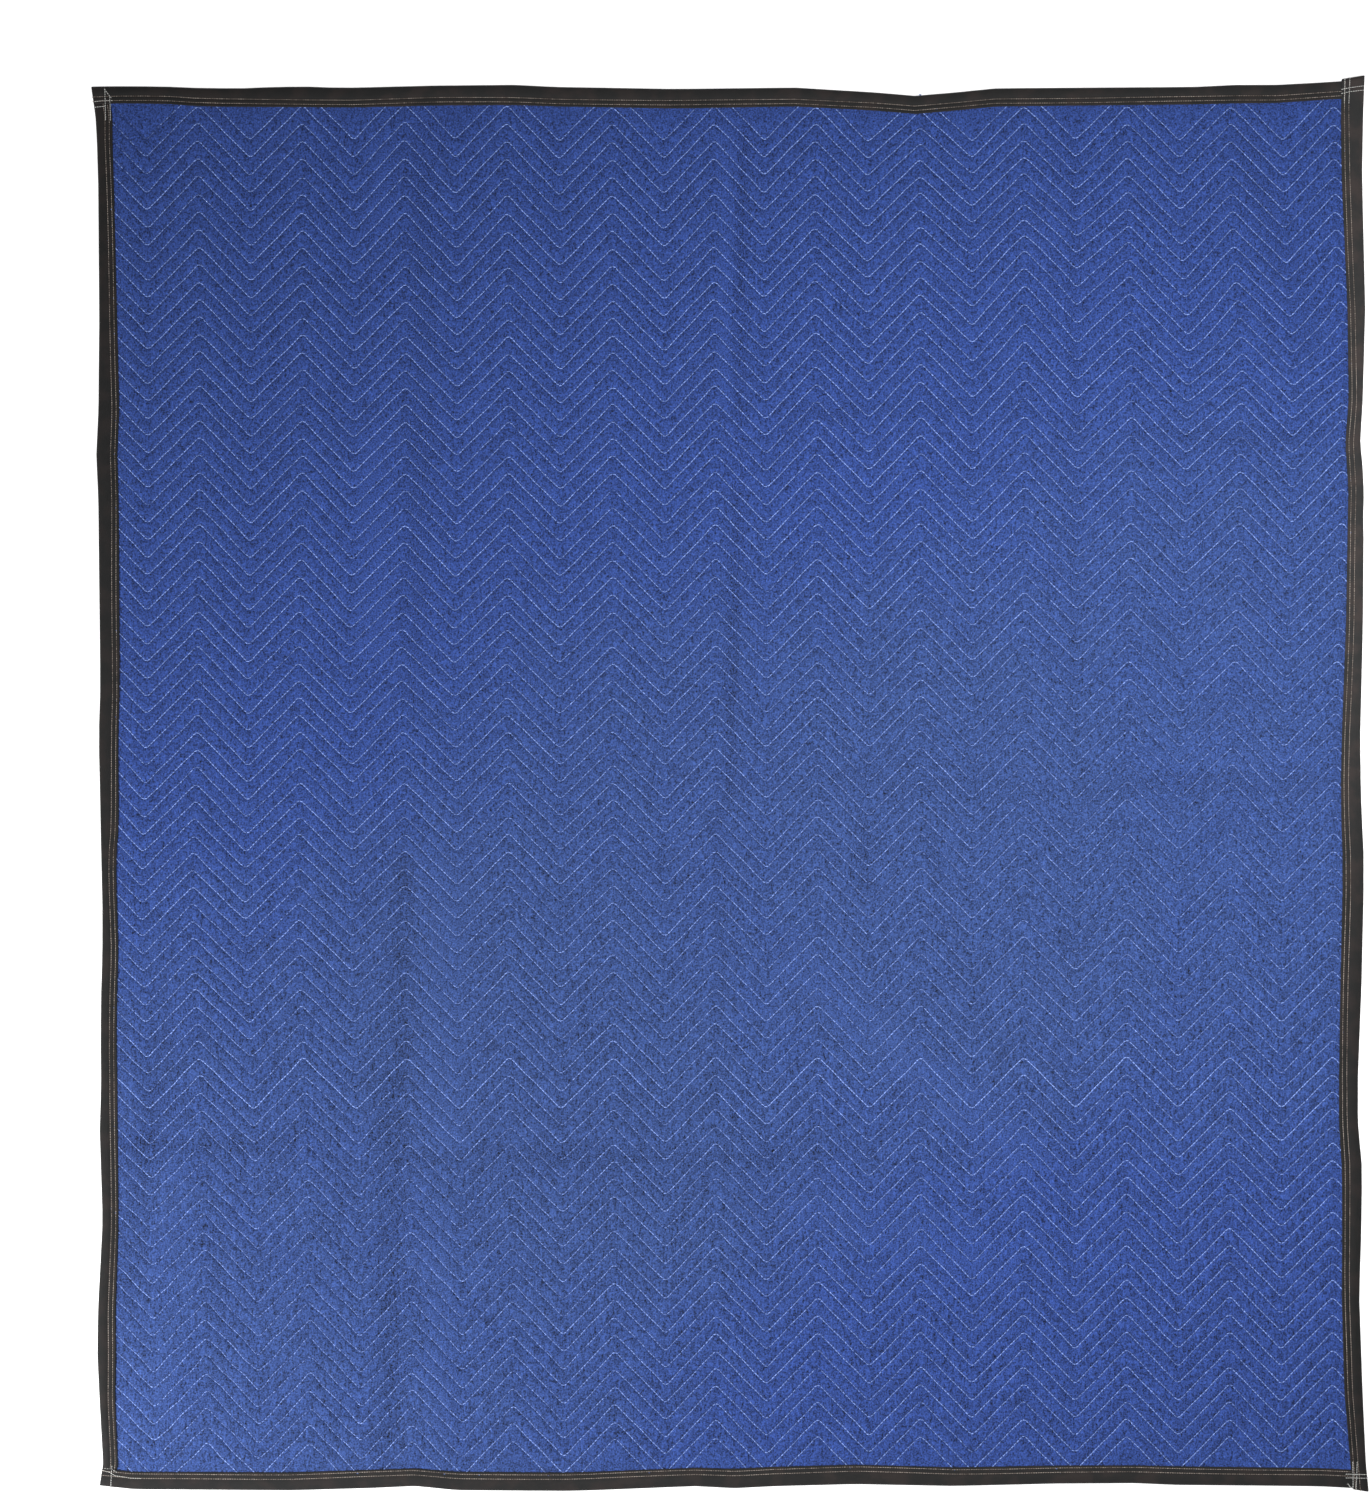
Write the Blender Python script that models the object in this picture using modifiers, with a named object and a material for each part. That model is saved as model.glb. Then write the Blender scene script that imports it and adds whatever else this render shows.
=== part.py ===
"""A quilted moving blanket, laid out flat on its back.

A thick blue pad is quilted along zigzag rows of stitching, and each of its four edges is bound
by a black tape folded over it. Metres, with +Z up out of the face and +Y along the longer sides.
The origin is under the middle of the blanket. Lengths in the tables below are in millimetres.
"""

import collections

import bmesh
import bpy
import mathutils
import numpy as np

MM = 0.001

# The build up at a bound edge, from the floor: tape, gap, pad, gap, tape.
TAPE = 0.8
GAP = 0.3
PRESSED_PAD = 2.2
EDGE_HEIGHT = 2 * TAPE + 2 * GAP + PRESSED_PAD
FOLD_RADIUS = EDGE_HEIGHT / 2
FOLD_STEPS = 4
FOLD_ROOM = 0.5

# The corners of an outline are found by closing in on them this many times.
CORNER_PASSES = 5

# The pad between its rows of stitching, and at a row.
LOFT = 5.5
SEAM_HEIGHT = 3.9
THINNEST = 2.0
CLEAR_ABOVE = 20

# The zigzag: rows of stitching an inch apart, with turns three inches apart across the width. Row 0
# is given at its upper turns, and turn 0 is a lower one. The cloth above the highest row that is
# stitched, and below the lowest, is left plain up to the tape.
ROW_PITCH = 25.26
HALF_WAVE = 75.4
WAVE_RISE = 72.0
FIRST_TURN = -852.0
FIRST_ROW = 986.5
ROWS = range(-6, 82)
STITCHED_ROWS = range(-1, 78)

# The columns of points stand at the turns, an odd turn pointing up, and at the two upright creases.
UPRIGHT_CREASES = (11.43, 17.82)
COLUMNS = sorted((*range(-1, 25), *UPRIGHT_CREASES))

# The ends of the right tape stand past the top and bottom edges, further at their outer corner.
END_REACH = 1036.5
END_SLANT = 0.16

# One row for each section of an edge: the place along it, how far it stands out from the side's
# straight line there, and how wide the tape shows on the face. The first and last are its ends.
Section = collections.namedtuple("Section", "along out width")
Side = collections.namedtuple("Side", "runs_along_x outward line sections")

TOP = Side(True, 1, 1019, (
    Section(-935, 0, 27),
    Section(-725, -1, 27.5),
    Section(-550, 0, 29.5),
    Section(-430, 3, 29.5),
    Section(-315, 4, 30),
    Section(-255, 1, 29),
    Section(-80, -2, 29),
    Section(95, 0, 28),
    Section(212, -7, 27),
    Section(271, -12, 27),
    Section(330, -7, 27),
    Section(390, -1, 27),
    Section(680, 1, 26),
    Section(740, 4, 27.5),
    Section(800, 4, 27),
    Section(857, 7, 26),
    Section(935, 12, 26),
))
BOTTOM = Side(True, -1, 1029, (
    Section(-935, -3, 25.5),
    Section(-872, 4, 25.5),
    Section(-640, 4, 25.5),
    Section(-520, 0, 25.5),
    Section(-461, -3, 24.5),
    Section(-400, 3, 25.5),
    Section(-227, 4, 25.5),
    Section(-51, -3, 25.5),
    Section(7, 0, 27),
    Section(66, -3, 27),
    Section(183, -6, 27),
    Section(330, -3, 26),
    Section(476, -6, 25.5),
    Section(593, -6, 25.5),
    Section(652, -3, 27),
    Section(864, 0, 27),
    Section(935, 4, 27),
))
LEFT = Side(False, -1, 923, (
    Section(-1029, 0, 22),
    Section(-995, -5, 22),
    Section(-903, 0, 23),
    Section(-837, 3, 27),
    Section(-771, 2, 25.5),
    Section(-640, -5, 22.5),
    Section(-508, -1, 25),
    Section(-442, -3, 22.5),
    Section(-244, -5, 22),
    Section(-178, -5, 20),
    Section(-46, -2, 25.5),
    Section(152, -2, 27),
    Section(415, 1, 28.5),
    Section(481, 4, 29.5),
    Section(547, 1, 29.5),
    Section(679, 0, 25.5),
    Section(877, 2, 23),
    Section(940, 4, 23),
    Section(975, 6, 25),
    Section(1019, 12, 25),
))
RIGHT = Side(False, 1, 925, (
    Section(-1036, 10, 23),
    Section(-994, 6, 23),
    Section(-889, 1, 27),
    Section(-757, -4, 25.5),
    Section(-559, -2, 28.5),
    Section(-493, -7, 27),
    Section(-427, -7, 27),
    Section(-295, -2, 30),
    Section(-163, 1, 30),
    Section(-97, 1, 30),
    Section(67, -4, 26),
    Section(232, 0, 24),
    Section(364, 1, 22.5),
    Section(430, -1, 20),
    Section(496, -4, 21),
    Section(562, 0, 20),
    Section(694, 4, 25.5),
    Section(891, 0, 30),
    Section(984, 2, 33),
    Section(1036, 4, 33),
))

# Where the rows of stitching wander: the middle of each pull, how wide and high it reaches, and how
# far it draws them to the right and up.
Pull = collections.namedtuple("Pull", "x y wide high right up")
PULLS = (
    Pull(0, 960, 1500, 130, 0, 4),
    Pull(-830, 950, 150, 120, -3, 2),
    Pull(-450, 1010, 160, 160, 0, 5),
    Pull(-360, 930, 130, 150, -3, 0),
    Pull(270, 990, 90, 90, 0, -7),
    Pull(100, 800, 150, 250, -4, 0),
    Pull(-370, 710, 280, 280, 0, -5),
    Pull(450, 750, 110, 110, 0, 14),
    Pull(430, 660, 260, 170, 0, 8),
    Pull(690, 640, 90, 90, 8, -8),
    Pull(880, 640, 70, 70, 8, -11),
    Pull(800, 450, 280, 380, 11, 0),
    Pull(790, 480, 160, 240, 6, 0),
    Pull(-400, 220, 600, 200, 0, -4),
    Pull(-540, 190, 240, 150, -6, 0),
    Pull(-110, 0, 120, 1200, 3, 0),
    Pull(-820, -60, 150, 150, 0, -3),
    Pull(-780, -170, 190, 190, -10, 0),
    Pull(330, -430, 110, 90, 0, -3),
    Pull(-600, -640, 330, 220, 7, 0),
    Pull(780, -680, 200, 180, 0, 2.5),
    Pull(400, -700, 500, 500, 0, 3),
    Pull(-780, -980, 250, 250, 9, -7),
    Pull(-420, -1000, 300, 300, 7, -5),
)

# The marks of how the blanket was folded away, and its soft waves: each runs between two places,
# with a width to either side and a lift above the face, or a dip below it.
Crease = collections.namedtuple("Crease", "x1 y1 x2 y2 width lift")
CREASES = (
    Crease(12, 990, 12, 320, 11, -1.4),
    Crease(-18, 990, -14, 560, 16, 1.2),
    Crease(8, 320, -6, -460, 14, -0.9),
    Crease(492, 990, 496, 30, 11, -1.2),
    Crease(482, 20, 482, -980, 18, 0.9),
    Crease(-492, 650, -486, 150, 22, 1.4),
    Crease(-446, 610, -452, 130, 22, -0.9),
    Crease(-480, -100, -486, -520, 18, -1.3),
    Crease(-498, -650, -496, -990, 26, -1.5),
    Crease(-410, -210, -405, -540, 38, 1.6),
    Crease(100, 555, 480, 555, 10, -1.1),
    Crease(570, 508, 880, 508, 10, -1.1),
    Crease(-880, 528, -510, 528, 10, -0.6),
    Crease(615, 12, 895, 15, 13, -1.5),
    Crease(100, 62, 400, 32, 22, -0.8),
    Crease(-890, -526, -45, -544, 12, -1.3),
    Crease(205, -552, 470, -558, 14, -1.1),
    Crease(100, -245, 440, -538, 36, 2.4),
    Crease(115, -618, 395, -705, 36, 1.6),
    Crease(755, 930, 850, 650, 30, -1.3),
    Crease(-828, -360, -880, -740, 20, -1.6),
    Crease(-810, -570, -828, -960, 38, 1.8),
    Crease(-755, -610, -740, -900, 14, -0.9),
)

CLOTH_BLUE = (0.026, 0.060, 0.232)
CLOTH_ROUGHNESS = 0.9
TAPE_BLACK = (0.024, 0.023, 0.024)
TAPE_ROUGHNESS = 0.75


def fresh_collections():
    """Clears the scene and returns one collection for the pieces and one for what cuts them."""
    for old in list(bpy.data.objects):
        bpy.data.objects.remove(old, do_unlink=True)
    made = []
    for name in ("moving_blanket", "cutters"):
        collection = bpy.data.collections.new(name)
        bpy.context.scene.collection.children.link(collection)
        made.append(collection)
    return made


def finish(name, colour, roughness):
    material = bpy.data.materials.new(name)
    material.use_nodes = True
    shader = material.node_tree.nodes["Principled BSDF"]
    shader.inputs["Base Color"].default_value = (*colour, 1)
    shader.inputs["Roughness"].default_value = roughness
    return material


def as_object(bm, name, collection):
    """Turns a bmesh in millimetres into an object in metres, with its faces pointing out.

    Faces that point in give a negative volume, also on a folded tape, which lies far from the origin.
    """
    bmesh.ops.scale(bm, vec=(MM, MM, MM), verts=bm.verts)
    bmesh.ops.recalc_face_normals(bm, faces=bm.faces)
    if bm.calc_volume(signed=True) < 0:
        bmesh.ops.reverse_faces(bm, faces=bm.faces)
    mesh = bpy.data.meshes.new(name)
    bm.to_mesh(mesh)
    bm.free()
    made = bpy.data.objects.new(name, mesh)
    collection.objects.link(made)
    return made


def shaped_grid(columns, rows, place):
    """A sheet of columns by rows points, each put where place says."""
    bm = bmesh.new()
    bmesh.ops.create_grid(bm, x_segments=columns - 1, y_segments=rows - 1, size=1)
    for vert in bm.verts:
        column = round((vert.co.x + 1) / 2 * (columns - 1))
        row = round((vert.co.y + 1) / 2 * (rows - 1))
        vert.co = place(column, row)
    return bm


def read_off(side, along, column):
    rows = side.sections
    return float(np.interp(along, [row.along for row in rows], [getattr(row, column) for row in rows]))


def across(side, along, inset):
    """The coordinate across a side, at an inset from its bound edge."""
    return side.outward * (side.line + read_off(side, along, "out") - inset)


def corner(level, upright, inset_of):
    """Where two sides' outlines meet, at the inset that each has there."""
    x = across(upright, 0, 0)
    y = across(level, 0, 0)
    for _ in range(CORNER_PASSES):
        x = across(upright, y, inset_of(upright, y))
        y = across(level, x, inset_of(level, x))
    return x, y


def outline(inset_of):
    """The blanket's outline clockwise from its top left corner, at an inset from the bound edge."""
    points = []
    for side, level, upright in (
        (TOP, TOP, LEFT),
        (RIGHT, TOP, RIGHT),
        (BOTTOM, BOTTOM, RIGHT),
        (LEFT, BOTTOM, LEFT),
    ):
        points.append(corner(level, upright, inset_of))
        between = side.sections[1:-1]
        for row in between if side in (TOP, LEFT) else reversed(between):
            place = across(side, row.along, inset_of(side, row.along))
            points.append((row.along, place) if side.runs_along_x else (place, row.along))
    return points


def under_tape(side, along):
    """The pad's own edge, a little inside the round of the tape's fold."""
    return FOLD_RADIUS + FOLD_ROOM


def beside_tape(side, along):
    """The line where the open face of the pad begins, just clear of the tape."""
    return read_off(side, along, "width") + GAP


def pad_envelope(collection):
    """The space that the pad may fill: full height in the open, and pressed thin inside the tapes."""
    open_face = outline(beside_tape)
    pressed = outline(under_tape)
    low = TAPE + GAP
    high = low + PRESSED_PAD
    levels = (
        (open_face, 0),
        (open_face, low),
        (pressed, low),
        (pressed, high),
        (open_face, high),
        (open_face, CLEAR_ABOVE),
    )
    bm = bmesh.new()
    rings = [[bm.verts.new((x, y, height)) for x, y in points] for points, height in levels]
    for lower, upper in zip(rings, rings[1:]):
        for this, after in zip(range(-1, len(lower) - 1), range(len(lower))):
            bm.faces.new((lower[this], lower[after], upper[after], upper[this]))
    bm.faces.new(rings[0])
    bm.faces.new(rings[-1])
    envelope = as_object(bm, "pad_envelope", collection)
    envelope.display_type = "WIRE"
    envelope.hide_render = True
    return envelope


def pulled(x, y):
    """Where a point of the even zigzag really lies."""
    right = 0
    up = 0
    for pull in PULLS:
        share = np.exp(-(((x - pull.x) / pull.wide) ** 2) - ((y - pull.y) / pull.high) ** 2)
        right += pull.right * share
        up += pull.up * share
    return x + right, y + up


def crease_lift(x, y):
    """How far the creases and waves lift or lower the face at a point."""
    here = mathutils.Vector((x, y))
    lift = 0
    for crease in CREASES:
        start = mathutils.Vector((crease.x1, crease.y1))
        run = mathutils.Vector((crease.x2, crease.y2)) - start
        share = min(max((here - start).dot(run) / run.length_squared, 0), 1)
        away = (here - start - share * run).length
        lift += crease.lift * np.exp(-((away / crease.width) ** 2))
    return lift


def quilt_point(column, row):
    """A point of the quilted face: rows of points run along the seams and midway between them."""
    turn = COLUMNS[column]
    seams_down = ROWS[0] + row / 2
    x = FIRST_TURN + turn * HALF_WAVE
    y = FIRST_ROW - seams_down * ROW_PITCH - WAVE_RISE * abs(turn % 2 - 1)
    x, y = pulled(x, y)
    height = SEAM_HEIGHT if seams_down in STITCHED_ROWS else LOFT
    return x, y, max(height + crease_lift(x, y), THINNEST)


def quilted_panel(collection, cutters):
    """The pad: a zigzag ribbed block, larger than the blanket, kept where the envelope holds it."""
    bm = shaped_grid(len(COLUMNS), 2 * len(ROWS) - 1, quilt_point)
    bmesh.ops.triangulate(bm, faces=bm.faces)
    rim = [edge for edge in bm.edges if edge.is_boundary]
    walls = bmesh.ops.extrude_edge_only(bm, edges=rim)["geom"]
    for vert in (part for part in walls if isinstance(part, bmesh.types.BMVert)):
        vert.co.z = -LOFT
    foot = [edge for edge in bm.edges if edge.is_boundary]
    bmesh.ops.contextual_create(bm, geom=foot)
    panel = as_object(bm, "quilted_panel", collection)
    trim = panel.modifiers.new("trim", "BOOLEAN")
    trim.operation = "INTERSECT"
    trim.solver = "EXACT"
    trim.object = pad_envelope(cutters)
    panel.data.materials.append(finish("quilted blue cloth", CLOTH_BLUE, CLOTH_ROUGHNESS))


def fold_profile(width):
    """The tape's outer face from its upper inner edge round the fold to its lower one: inset, height."""
    profile = [(width, EDGE_HEIGHT)]
    for step in range(FOLD_STEPS + 1):
        turn = np.pi / 2 - np.pi * step / FOLD_STEPS
        profile.append((FOLD_RADIUS * (1 - np.cos(turn)), FOLD_RADIUS * (1 + np.sin(turn))))
    profile.append((width, 0))
    return profile


def binding(name, side, low_end, high_end, collection):
    """A tape folded over one side. The ends say how far along it runs, at a coordinate across it."""
    ends = {0: low_end, len(side.sections) - 1: high_end}

    def place(column, row):
        along = side.sections[column].along
        inset, height = fold_profile(side.sections[column].width)[row]
        over = across(side, along, inset)
        if column in ends:
            along = ends[column](over)
            over = across(side, along, inset)
        return (along, over, height) if side.runs_along_x else (over, along, height)

    bm = shaped_grid(len(side.sections), len(fold_profile(0)), place)
    tape = as_object(bm, name, collection)
    thick = tape.modifiers.new("tape thickness", "SOLIDIFY")
    thick.thickness = TAPE * MM
    thick.offset = -1
    thick.use_even_offset = True
    tape.data.shade_smooth()
    tape.data.materials.append(finish(name + " black tape", TAPE_BLACK, TAPE_ROUGHNESS))


def at_outline(side):
    """An end that is cut flush with the next side's outline."""
    return lambda over: across(side, over, 0)


def at_tape(side):
    """An end that stops just short of the next side's tape."""
    return lambda over: across(side, over, read_off(side, over, "width") + GAP)


def past_edge(direction):
    """An end of the right tape, which stands past the next edge, further at its outer corner."""
    outermost = across(RIGHT, direction * END_REACH, 0)
    return lambda over: direction * (END_REACH - END_SLANT * (outermost - over))


def main():
    pieces, cutters = fresh_collections()
    quilted_panel(pieces, cutters)
    binding("binding_top", TOP, at_outline(LEFT), at_tape(RIGHT), pieces)
    binding("binding_bottom", BOTTOM, at_outline(LEFT), at_tape(RIGHT), pieces)
    binding("binding_left", LEFT, at_tape(BOTTOM), at_tape(TOP), pieces)
    binding("binding_right", RIGHT, past_edge(-1), past_edge(1), pieces)


main()
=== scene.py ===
# %% [markdown]
# # A quilted moving blanket, laid out flat
#
# The blanket is a thick blue pad, sewn through along zigzag rows an inch apart, with black tape
# folded over its four edges. It lies on the floor with its face up, and the camera looks straight
# down at it. This lesson dresses a plain model of it, the frame, with finer cloth, real stitches
# and woven finishes. Each piece takes its place from the frame, so nothing here moves or resizes it.

# %% The frame
import collections
import math

import bmesh
import bpy
import mathutils
import numpy as np
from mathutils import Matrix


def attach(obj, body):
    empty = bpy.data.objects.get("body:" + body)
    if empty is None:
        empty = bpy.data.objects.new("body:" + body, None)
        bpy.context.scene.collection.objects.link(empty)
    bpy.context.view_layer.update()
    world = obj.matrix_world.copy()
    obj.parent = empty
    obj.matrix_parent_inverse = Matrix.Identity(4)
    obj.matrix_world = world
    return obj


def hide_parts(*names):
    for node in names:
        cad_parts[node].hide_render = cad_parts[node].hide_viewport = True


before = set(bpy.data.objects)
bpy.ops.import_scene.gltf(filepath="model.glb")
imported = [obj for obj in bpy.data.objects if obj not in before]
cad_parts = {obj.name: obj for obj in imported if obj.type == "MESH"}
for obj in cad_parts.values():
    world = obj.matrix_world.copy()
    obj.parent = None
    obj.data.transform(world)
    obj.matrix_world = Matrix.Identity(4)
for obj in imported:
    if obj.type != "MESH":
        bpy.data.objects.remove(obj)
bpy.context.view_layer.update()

print("plain pieces in the frame:", ", ".join(sorted(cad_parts)))

# %% [markdown]
# ## The photograph's scale and the camera
#
# One pixel of the photograph covers 1.465 mm of the blanket, all over, which tells that it was taken
# from far above. So the camera stands five metres up with a long lens. A few small things, such as the
# corner stitches, are placed by the pixel where they show, and one function turns such a place into
# millimetres on the blanket.

# %% The scale
MM = 0.001
PHOTO_WIDTH = 1372
PHOTO_HEIGHT = 1495
MM_PER_PIXEL = 1.465
MIDDLE_COLUMN = 730
MIDDLE_ROW = 783.5


def from_photo(column, row):
    """The place on the blanket, in millimetres, that a pixel of the photograph shows."""
    return (column - MIDDLE_COLUMN) * MM_PER_PIXEL, (MIDDLE_ROW - row) * MM_PER_PIXEL


# %% The camera
LENS = 85
SENSOR = 36

frame_height = PHOTO_HEIGHT * MM_PER_PIXEL * MM
camera_height = frame_height * LENS / SENSOR
camera_x, camera_y = from_photo(PHOTO_WIDTH / 2, PHOTO_HEIGHT / 2)
camera_data = bpy.data.cameras.new("camera")
camera_data.lens = LENS
camera_data.sensor_width = SENSOR
camera = bpy.data.objects.new("camera", camera_data)
camera.location = (camera_x * MM, camera_y * MM, camera_height)
bpy.context.scene.collection.objects.link(camera)
bpy.context.scene.camera = camera
print(f"the camera is {camera_height:.2f} m up and sees {frame_height:.2f} m from top to bottom")

# %% [markdown]
# ## A way to write materials
#
# A material is a net of nodes. Written out node by node, even a small sum takes many lines. So one
# small class wraps an output socket: sums written with it add the Math nodes by themselves, and its
# one method, add, makes any other kind of node from its type, its settings and its inputs.


# %% Sums that build nodes
class Wire:
    """An output socket of a material, which can stand in sums. Without a socket it only starts a net."""

    def __init__(self, tree, socket=None):
        self.tree = tree
        self.socket = socket

    def add(self, kind, settings=None, values=None, output=0):
        """Adds any node. Its settings come first, and then each input gets a value or a link."""
        node = self.tree.nodes.new(kind)
        for name, value in (settings or {}).items():
            setattr(node, name, value)
        for name, value in (values or {}).items():
            if isinstance(value, Wire):
                self.tree.links.new(value.socket, node.inputs[name])
            else:
                node.inputs[name].default_value = value
        return Wire(self.tree, node.outputs[output])

    def math(self, operation, *values):
        return self.add("ShaderNodeMath", {"operation": operation}, dict(enumerate(values)))

    def __add__(self, other):
        return self.math("ADD", self, other)

    def __sub__(self, other):
        return self.math("SUBTRACT", self, other)

    def __rsub__(self, other):
        return self.math("SUBTRACT", other, self)

    def __mul__(self, other):
        return self.math("MULTIPLY", self, other)

    __radd__ = __add__
    __rmul__ = __mul__


# %% Nodes that the finishes share
# The Mix node has other sockets of the same names for numbers, so those for colours go by their place.
MIX_A = 6
MIX_B = 7
MIX_RESULT = 2
SHINE = 0.25


def place_of(start):
    """The place on the piece, in metres."""
    return start.add("ShaderNodeTexCoord", output="Object")


def noise(place, scale, detail, stretch=(1, 1, 1)):
    """Soft random values from 0 to 1, with scale blobs in a metre, times the stretch of each axis."""
    mapped = place.add("ShaderNodeMapping", values={"Vector": place, "Scale": stretch})
    return place.add("ShaderNodeTexNoise", values={"Vector": mapped, "Scale": scale, "Detail": detail})


def between(value, low, high):
    """0 up to low, 1 from high, and a soft step between them."""
    return value.add(
        "ShaderNodeMapRange",
        {"interpolation_type": "SMOOTHSTEP"},
        {"Value": value, "From Min": low, "From Max": high},
    )


def blended(start, factor, first, second, how="MIX"):
    """Mixes two colours."""
    settings = {"data_type": "RGBA", "blend_type": how}
    return start.add("ShaderNodeMix", settings, {0: factor, MIX_A: first, MIX_B: second}, MIX_RESULT)


def shade(value):
    """A grey colour of that brightness, to multiply another colour with."""
    names = ("Red", "Green", "Blue")
    return value.add("ShaderNodeCombineColor", values={name: value for name in names})


def bumped(start, height, depth):
    """A surface pushed out by height times depth, in metres."""
    return start.add("ShaderNodeBump", values={"Height": height, "Distance": depth, "Strength": 1.0})


def new_finish(name, roughness, sheen=0.0):
    """An empty material, with a wire that starts its net and the shader that ends it."""
    material = bpy.data.materials.new(name)
    material.use_nodes = True
    tree = material.node_tree
    shader = tree.nodes["Principled BSDF"]
    shader.inputs["Roughness"].default_value = roughness
    shader.inputs["Sheen Weight"].default_value = sheen
    shader.inputs["Specular IOR Level"].default_value = SHINE
    return material, Wire(tree), shader


def feed(wire, shader, name):
    wire.tree.links.new(wire.socket, shader.inputs[name])


# %% [markdown]
# ## The blue cloth
#
# The face is a plain woven cloth, dyed blue. From close by it shows its threads, from a step away it is
# mottled, greyer in places, and drawn into small upright puckers by the sewing. The weave is far finer
# than any mesh could hold, so it is bump. Two ripples that cross stand for the threads over and under
# each other. Stretched noise makes the puckers, deeper in the lower half as in the photograph.

# %% Cloth finish
CLOTH_DEEP = (0.0275, 0.0615, 0.252, 1)
CLOTH_GREYED = (0.0345, 0.070, 0.226, 1)
# The middle of each place painted greyer where the light falls strongest, and its reach, in metres.
LIT_GREY_PLACES = ((0.75, 0.0, 0.75), (-0.65, -0.75, 0.85), (0.0, -0.2, 0.7))
# The lower part is full up to the first height and ends at the second, in metres.
LOWER_PART = (-0.55, 0.15)
# Each noise is its blobs in a metre, its detail and, where it is drawn out, its stretch.
STREAKS = (110, 3.0, (2.6, 0.55, 1))
FINE_STREAKS = (300, 2.0, (2.4, 0.6, 1))
MOTTLE = (450, 3.0)
CRUMPLE = (60, 4.0)
GREY_CLOUDS = (16, 5.0)
THREADS_A_METRE = 1300
CLOTH_RELIEF = 1.1


def cloth_finish():
    material, start, shader = new_finish("quilted blue cloth", 0.88, sheen=0.12)
    place = place_of(start)
    x = start.add("ShaderNodeSeparateXYZ", values={"Vector": place}, output="X")
    y = start.add("ShaderNodeSeparateXYZ", values={"Vector": place}, output="Y")
    quilting = start.add("ShaderNodeAttribute", {"attribute_name": "quilting"}, output="Vector")
    painted_seam_shade = 1 - start.add("ShaderNodeSeparateXYZ", values={"Vector": quilting}, output="X")
    crease_shade_and_light = start.add("ShaderNodeSeparateXYZ", values={"Vector": quilting}, output="Z")

    lower = 1 - between(y, *LOWER_PART)
    streaks = noise(place, *STREAKS)
    fine_streaks = noise(place, *FINE_STREAKS)
    mottle = noise(place, *MOTTLE)
    # What is taken away at the end of the sum keeps the mean tone near 1, also in the lower part.
    tone = 3.9 * mottle + (0.6 + 0.7 * lower) * streaks + 1.2 * fine_streaks - 1.82 - 0.35 * lower
    # Painted shade: the cloth is darker down into each seam's groove and in the troughs of the creases,
    # with painted light on their ridges.
    tone = tone - 0.18 * painted_seam_shade + 0.07 * crease_shade_and_light
    # Greyer in random clouds, and, as painted light, greyer at the places where the light falls strongest.
    grey_clouds_and_light = 0.5 * (noise(place, *GREY_CLOUDS) - 0.5)
    for middle_x, middle_y, reach in LIT_GREY_PLACES:
        away = start.math("POWER", x - middle_x, 2.0) + start.math("POWER", y - middle_y, 2.0)
        grey_clouds_and_light = grey_clouds_and_light + 0.75 * (1 - between(away, 0.0, reach**2))
    blue = blended(start, between(grey_clouds_and_light, 0.0, 1.0), CLOTH_DEEP, CLOTH_GREYED)
    feed(blended(start, 1.0, blue, shade(tone), "MULTIPLY"), shader, "Base Color")

    # Heights are shares of the relief.
    threads = THREADS_A_METRE * math.tau
    weave = start.math("SINE", x * threads) * start.math("SINE", y * threads)
    pucker = (0.35 + 0.65 * lower) * (streaks * 0.8 + fine_streaks * 0.4)
    height = pucker + noise(place, *CRUMPLE) * 0.45 + mottle * 0.12 + weave * 0.02
    feed(bumped(start, height, CLOTH_RELIEF * MM), shader, "Normal")
    return material


cloth = cloth_finish()
print("finish made:", cloth.name)

# %% [markdown]
# ## The black tape and the threads
#
# The tape is a stout twill, nearly black and a little brown in places. Its slanting ribs are a ripple
# across both directions. Painted light greys it along the upper half of the right edge, and painted shade
# darkens the rest of that edge and leaves it blackest along the left edge. The quilting thread is pale,
# and some rows show more of it than others, so it reads its tone from the piece itself, where each row
# stores one.

# %% Tape and thread finishes
TAPE_BLACK = (0.0145, 0.0145, 0.0145, 1)
TAPE_BROWN = (0.024, 0.019, 0.018, 1)
RUBS = (35, 3.0)
SPECKLE = (700, 2.0)
TAPE_CREASES = (140, 3.0)
RIBS_A_METRE = 750
TAPE_RELIEF = 0.6
# The rubs at which brown begins and is full.
BROWN = (0.4, 0.65)
# Where a soft step begins and ends, in metres: onto the right tape, up to its half with painted light,
# away from the left side, and up from the bottom.
RIGHT_TAPE = (0.86, 0.92)
LIT_HALF = (-0.35, 0.35)
LEFT_SIDE = (-0.9, -0.4)
UP_FROM_BOTTOM = (-1.05, -0.85)
# How much painted light greys the upper right tape, and how much painted shade darkens the rest of it and
# the left side.
RIGHT_PAINTED_LIGHT = 1.2
PAINTED_SHADE = 0.32


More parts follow.
